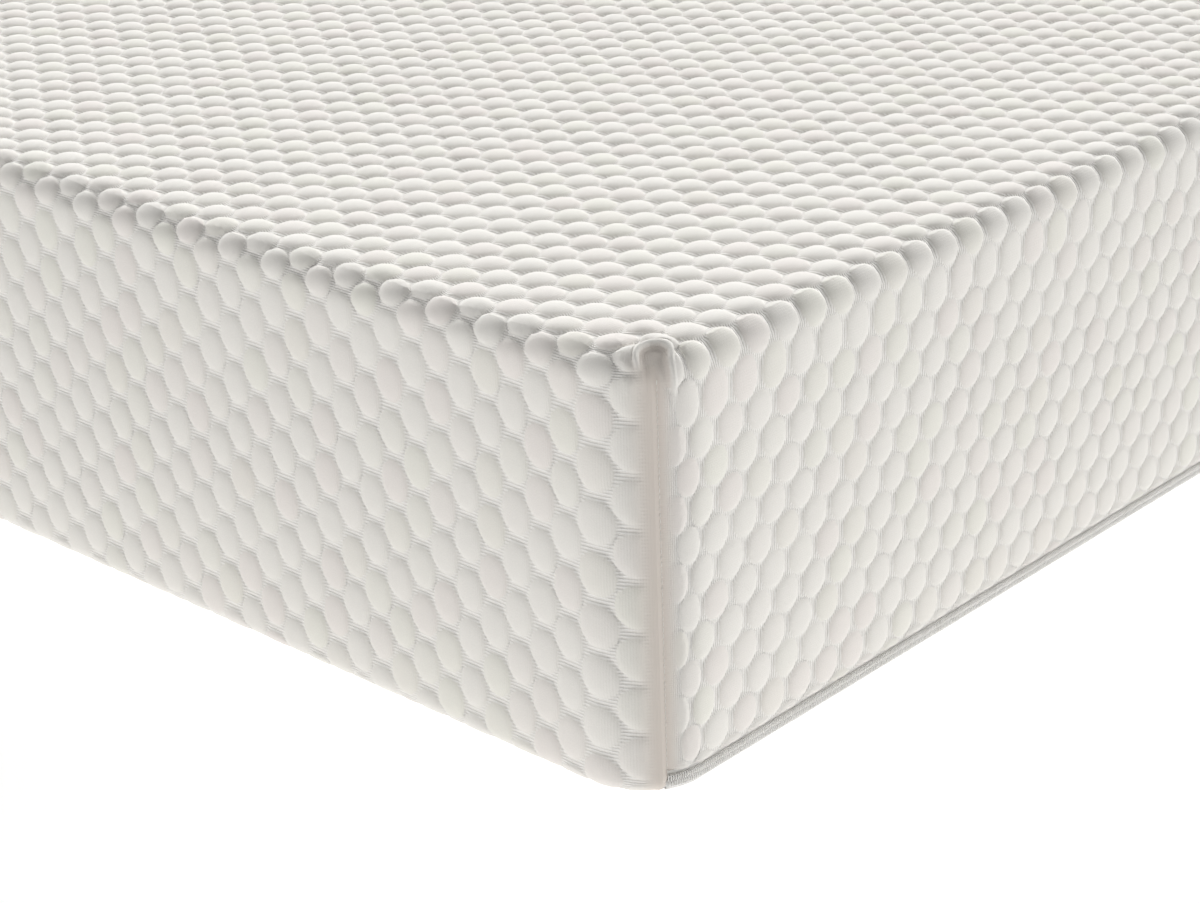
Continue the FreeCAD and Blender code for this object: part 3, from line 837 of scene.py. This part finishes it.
def round_wire(line, along, side_a, radius, sides):
    """Rings of points along a line, and the faces between them."""
    side_b = np.cross(along, side_a)
    angle = np.arange(sides) * 2 * math.pi / sides
    ring = np.cos(angle)[None, :, None] * side_a[:, None] + np.sin(angle)[None, :, None] * side_b[:, None]
    radius = np.broadcast_to(radius, len(line))
    points = (line[:, None] + ring * radius[:, None, None]).reshape(-1, 3)
    index = np.arange(len(points)).reshape(-1, sides)
    after = np.roll(index, -1, axis=1)
    return points, np.stack([index[:-1], after[:-1], after[1:], index[1:]], -1).reshape(-1, 4)


def tube(line, radius, sides=6):
    """A short round wire. radius may vary from point to point."""
    along = unit(np.gradient(line, axis=0))
    reference = np.tile(np.array([0.0, 0.0, 1.0]), (len(line), 1))
    reference[np.abs(along[:, 2]) > 0.9] = [0.3, 0.9, 0.1]
    return round_wire(line, along, unit(np.cross(along, reference)), radius, sides)


def transported_tube(line, radius, sides=6):
    """A long round wire whose rings turn with the line, for a coil."""
    along = unit(np.gradient(line, axis=0))
    side_a = np.zeros_like(line)
    current = unit(np.cross(along[0], [0.13, 0.21, 0.97]))
    for k in range(len(line)):
        current = current - along[k] * np.dot(current, along[k])
        current = current / np.linalg.norm(current)
        side_a[k] = current
    return round_wire(line, along, side_a, radius, sides)


def join(parts):
    points, faces, count = [], [], 0
    for part_points, part_faces in parts:
        points.append(part_points)
        faces.append(part_faces + count)
        count += len(part_points)
    return np.concatenate(points), np.concatenate(faces)


def stitches(places, directions, outwards, length, radius):
    """Short sewn stitches that rise from the cloth and dip back into it."""
    parts = []
    share = np.linspace(-0.5, 0.5, 6)
    for place, direction, out in zip(places, directions, outwards):
        arch = radius * (0.6 - 3.2 * share**2 * 1.6)
        line = place + direction * (share * length)[:, None] + out * arch[:, None]
        parts.append(tube(line, radius * (1 - 0.35 * (2 * np.abs(share)) ** 3), 6))
    return join(parts)


def seam_line(x_side, y_side, z_values):
    """Points down a corner seam, on the cover's outer line, with their outward directions."""
    over = (PLAN_R - ROLL) + QUARTER + (TOP - ROLL) - z_values
    a = A_SIDE + over - SEAM_START
    S = x_side * (X0 + a)
    T = np.full(len(z_values), y_side * (T_EDGE - 1e-6))
    return wrap(S, T, 0, UNDER_R)


STITCH = 0.0026


def make_corner_thread():
    """A stitch every few millimetres down each corner seam, in its groove."""
    low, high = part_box("corner_stitching")
    z = np.arange(low.z, high.z, 0.0034)
    parts = []
    for x_side in (1, -1):
        for y_side in (1, -1):
            spot, out = seam_line(x_side, y_side, z)
            spot = spot - out * (CREST - STRIP_LEVEL + 0.0003)
            parts.append(stitches(spot, np.tile([0.0, 0.0, -1.0], (len(z), 1)), out, STITCH, 0.00020))
    piece = make_mesh("corner_seam_thread", *join(parts), None, None, thread_look)
    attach(piece, "mattress")
    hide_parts("corner_stitching")


make_corner_thread()


def foot_path(d, inset):
    """A point round the foot end, by distance from its middle on the outermost face, and the way out."""
    d = np.asarray(d, float)
    heading = np.maximum(np.abs(d) - Y0, 0) / PLAN_R
    out = np.stack([np.cos(heading), np.sign(d) * np.sin(heading), 0 * d], 1)
    spot = np.stack([np.full(len(d), X0), np.clip(d, -Y0, Y0), 0 * d], 1)
    return spot + out * (PLAN_R - np.broadcast_to(inset, len(d)))[:, None], out


# the zip runs round the foot end from one corner seam; its coils and tapes lie inside the outermost face
SEAM_FOOT = END_SHARE - LEAN * math.sin(2 * END_SHARE) ** 2
COIL_PITCH = 0.0015
COIL_DEPTH = 0.00076
WIRE = 0.00043
CHAIN_INSET = 0.0039
CHAIN_Z = 0.0085
CHAIN_REACH = 0.0038
CHAIN_LAP = 0.0002


def make_coil(name, node, inner_z, outer_z, offset):
    """One side of the zip: a flattened nylon coil, its front bars upright, and the stitches that hold it."""
    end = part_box(node)[1].y
    start = -(Y0 + PLAN_R * SEAM_FOOT)
    turns = int((end - start) / COIL_PITCH) - 1
    k = np.arange(turns * 12)
    psi = k * 2 * math.pi / 12
    back = smoothstep((k % 12) / 12.0, 0.5, 1.0)
    d = start + COIL_PITCH * (0.5 + k // 12 + back + offset)
    reach_z, mid_z = (outer_z - inner_z) / 2, (outer_z + inner_z) / 2
    flat_cos = np.sign(np.cos(psi)) * np.abs(np.cos(psi)) ** 0.7
    flat_sin = np.sign(np.sin(psi)) * np.abs(np.sin(psi)) ** 0.7
    spot, _ = foot_path(d, CHAIN_INSET - COIL_DEPTH * flat_sin)
    spot[:, 2] = mid_z + (abs(reach_z) - WIRE) * flat_cos * np.sign(reach_z)
    points, quads = transported_tube(spot, WIRE)
    piece = make_mesh(name, points, quads, None, None, coil_look)
    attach(piece, "mattress")
    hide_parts(node)
    stitch_at = np.arange(start + 0.004, end - 0.004, 0.003)
    place, out = foot_path(stitch_at, CHAIN_INSET - 0.00056 - WIRE)
    place[:, 2] = CHAIN_Z + 0.52 * (outer_z - CHAIN_Z)
    along = np.stack([-out[:, 1], out[:, 0], 0 * stitch_at], 1)
    sewn = stitches(place, along, out, STITCH, 0.00019)
    thread = make_mesh(name + "_thread", *sewn, None, None, thread_look)
    thread.parent = piece


make_coil("zip_coil_top_row", "zip_coil_upper", CHAIN_Z - CHAIN_LAP, CHAIN_Z + CHAIN_REACH, 0.0)
make_coil("zip_coil_low_row", "zip_coil_lower", CHAIN_Z + CHAIN_LAP, CHAIN_Z - CHAIN_REACH, 0.5)


def make_tape(name, node, section):
    """A woven tape along the foot end; section is its outline, as (inset, height) points in order."""
    round_corner = Y0 + PLAN_R * np.linspace(0, SEAM_FOOT, 9)
    d = np.concatenate([-round_corner[::-1], np.linspace(-Y0, Y0, 163)[1:-1], round_corner])
    lines = []
    for inset, z in section:
        spot, out = foot_path(d, inset)
        spot[:, 2] = z + 0.00012 * np.sin(d * 140 + inset * 900)
        lines.append(spot)
    points = np.stack(lines, 1)
    size = len(section)
    index = np.arange(points.shape[0] * size).reshape(-1, size)
    after = np.roll(index, -1, axis=1)
    quads = np.stack([index[:-1], index[1:], after[1:], after[:-1]], -1).reshape(-1, 4)
    rise = np.array([math.dist(place, section[0]) for place in section])
    flats = np.stack([np.repeat(d, size), np.tile(rise, len(d)), np.zeros(len(d) * size)], 1)
    piece = make_mesh(name, points.reshape(-1, 3), quads, None, {"cloth": flats}, tape_look)
    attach(piece, "mattress")
    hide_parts(node)


make_tape(
    "zip_tape_top_side",
    "zip_tape_upper",
    [
        (0.0052, 0.0091), (0.0051, 0.0095), (0.0053, 0.0140), (0.0057, 0.0216),
        (0.0060, 0.0219), (0.0063, 0.0216), (0.0059, 0.0140), (0.0057, 0.0095),
    ],
)
make_tape(
    "zip_tape_low_side",
    "zip_tape_lower",
    [
        (0.0058, 0.0079), (0.0057, 0.0075), (0.0057, 0.0032), (0.0060, 0.0023), (0.0070, 0.0020),
        (0.0130, 0.0020), (0.0198, 0.0020), (0.0200, 0.0023), (0.0198, 0.0026), (0.0130, 0.0026),
        (0.0075, 0.0026), (0.0064, 0.0030), (0.0063, 0.0040), (0.0063, 0.0075),
    ],
)

for node in ("zip_slider_body", "zip_slider_crown", "zip_pull_tab", "zip_bottom_stop", "zip_top_stops"):
    mesh = frame["nodes"][node].data
    mesh.materials.clear()
    mesh.materials.append(metal_look)

# ---------------------------------------------------------------- stage, light and camera


def make_floor():
    """A wide pale floor that glows a little, so that it shows as plain near-white."""
    corners = [(-30, -30, 0), (30, -30, 0), (30, 30, 0), (-30, 30, 0)]
    floor = make_mesh("studio_floor", corners, [(0, 1, 2, 3)])
    floor.location.z = -0.0002
    m = Nodes("studio_floor_paint").set(Roughness=0.9, Specular_IOR_Level=0.1)
    m.shader.inputs["Base Color"].default_value = (0.90, 0.90, 0.90, 1)
    m.shader.inputs["Emission Color"].default_value = (1, 1, 1, 1)
    m.shader.inputs["Emission Strength"].default_value = 0.66
    floor.data.materials.append(m.material)


make_floor()

world = bpy.data.worlds.new("studio")
bpy.context.scene.world = world
world.use_nodes = True
world.node_tree.nodes["Background"].inputs[0].default_value = (1, 1, 1, 1)
world.node_tree.nodes["Background"].inputs[1].default_value = 0.25


def soft_light(name, towards, strength, spread_degrees):
    """A broad soft light, the same all over the set, that comes from the given direction."""
    lamp = bpy.data.lights.new(name, "SUN")
    lamp.energy = strength * math.pi
    lamp.angle = math.radians(spread_degrees)
    thing = bpy.data.objects.new(name, lamp)
    bpy.context.scene.collection.objects.link(thing)
    thing.rotation_euler = Vector(towards).to_track_quat("Z", "Y").to_euler()
    return thing


soft_light("bank_left", (-0.62, -0.75, 0.05), 0.40, 50)
soft_light("bank_right", (0.62, 0.76, 0.05), 0.68, 50)
behind = soft_light("bank_behind", (-0.53, 0.585, 0.615), 1.05, 35)
# the light from behind leaves out the floor, which stays plain, and the two panels that it would burn out
pieces = bpy.data.collections.new("lit_from_behind")
for thing in bpy.context.scene.objects:
    if thing.type == "MESH" and thing.name not in ("studio_floor", "cover_side_back", "cover_end_head"):
        pieces.objects.link(thing)
behind.light_linking.receiver_collection = pieces

# the camera stands off the near corner, a little rolled, at the photo's angle
corner = Vector((HALF_L, -HALF_W, 0))
camera = bpy.data.cameras.new("camera")
camera.lens = 86.0
camera.sensor_width = 36.0
camera.clip_start, camera.clip_end = 0.05, 100
eye = bpy.data.objects.new("camera", camera)
bpy.context.scene.collection.objects.link(eye)
azimuth, elevation, roll = math.radians(42.39), math.radians(23.99), math.radians(-1.23)
level = math.cos(elevation)
back = Vector((math.sin(azimuth) * level, -math.cos(azimuth) * level, math.sin(elevation)))
right = (-back).cross(Vector((0, 0, 1))).normalized()
upward = right.cross(-back)
right, upward = (
    math.cos(roll) * right + math.sin(roll) * upward,
    -math.sin(roll) * right + math.cos(roll) * upward,
)
place = corner + Vector((0.836, -0.949, 0.770))
eye.matrix_world = Matrix((
    (right.x, upward.x, back.x, place.x),
    (right.y, upward.y, back.y, place.y),
    (right.z, upward.z, back.z, place.z),
    (0, 0, 0, 1),
))
bpy.context.scene.camera = eye
bpy.context.scene.view_settings.view_transform = "Standard"
